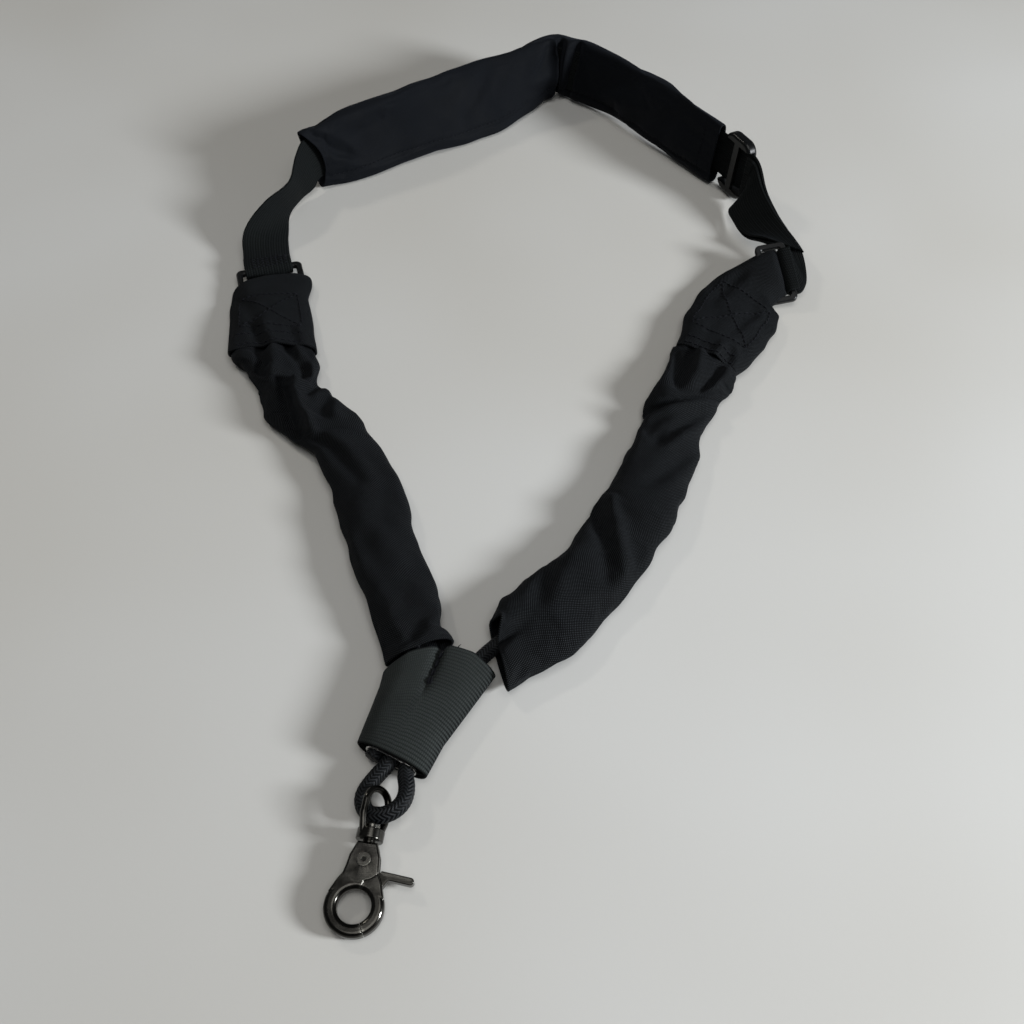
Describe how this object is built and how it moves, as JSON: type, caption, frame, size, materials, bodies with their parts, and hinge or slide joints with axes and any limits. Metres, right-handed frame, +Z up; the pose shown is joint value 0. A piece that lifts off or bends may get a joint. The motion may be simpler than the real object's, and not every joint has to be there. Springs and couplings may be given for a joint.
{
  "type": "saxophone neck strap",
  "caption": "Padded neck strap with webbing adjuster, two fabric sleeves over elastic cord, a ribbed yoke and a swivel trigger snap.",
  "frame": {"origin": "middle of the laid-out strap's footprint, on the surface it lies on", "axes": "+Y from the snap hook towards the neck pad, +Z up off the surface, +X to the slider's side"},
  "size_m": [0.3018, 0.5303, 0.039],
  "materials": {
    "pad_fabric": "smooth brushed polyester",
    "sleeve_fabric": "coarse woven nylon",
    "webbing": "ribbed flat webbing",
    "elastic": "ribbed elastic band",
    "bungee": "braided cord cover",
    "thread": "sewing thread",
    "foam": "soft foam sheet",
    "plastic": "moulded",
    "gunmetal": "black nickel plate",
    "spring_steel": "plain wire"
  },
  "bodies": {
    "strap": {"neck_pad_cover": "pad_fabric", "neck_pad_foam": "foam", "neck_webbing": "webbing", "webbing_return": "webbing", "webbing_fold_stitching": "thread", "left_ring": "plastic", "right_ring": "plastic", "left_tab": "sleeve_fabric", "right_tab": "sleeve_fabric", "left_tab_stitching": "thread", "right_tab_stitching": "thread", "left_sleeve": "sleeve_fabric", "right_sleeve": "sleeve_fabric", "left_bungee_clamp": "gunmetal", "right_bungee_clamp": "gunmetal", "bungee_left": "bungee", "bungee_right": "bungee", "yoke_sleeve": "elastic", "yoke_stitching": "thread", "yoke_crimp": "gunmetal"},
    "slider": {"slider": "plastic"},
    "eye": {"swivel_eye": "gunmetal"},
    "hook": {"hook_body": "gunmetal", "rivet": "gunmetal", "trigger_spring": "spring_steel"},
    "trigger": {"trigger": "gunmetal"}
  },
  "joints": [
    {"name": "slider_slide", "type": "slide", "parent": "strap", "child": "slider", "axis": [0.5, -0.866, 0], "range_m": [0, 0.004], "deforming": ["webbing_return"]},
    {"name": "eye_roll", "type": "hinge", "parent": "strap", "child": "eye", "pos_m": [-0.05525, -0.21868, 0.00689], "axis": [0.1558, 0.9839, 0.0872], "range_deg": [0, 38]},
    {"name": "hook_swivel", "type": "hinge", "parent": "eye", "child": "hook", "pos_m": [-0.05681, -0.22852, 0.00602], "axis": [0.1558, 0.9839, 0.0872], "continuous": true},
    {"name": "trigger_pivot", "type": "hinge", "parent": "hook", "child": "trigger", "pos_m": [-0.05823, -0.23748, 0.00522], "axis": [-0.0136, -0.0861, 0.9962], "range_deg": [0, 25], "stiffness_Nm_per_rad": 0.02, "springref_deg": -20.05, "deforming": ["trigger_spring"]}
  ]
}
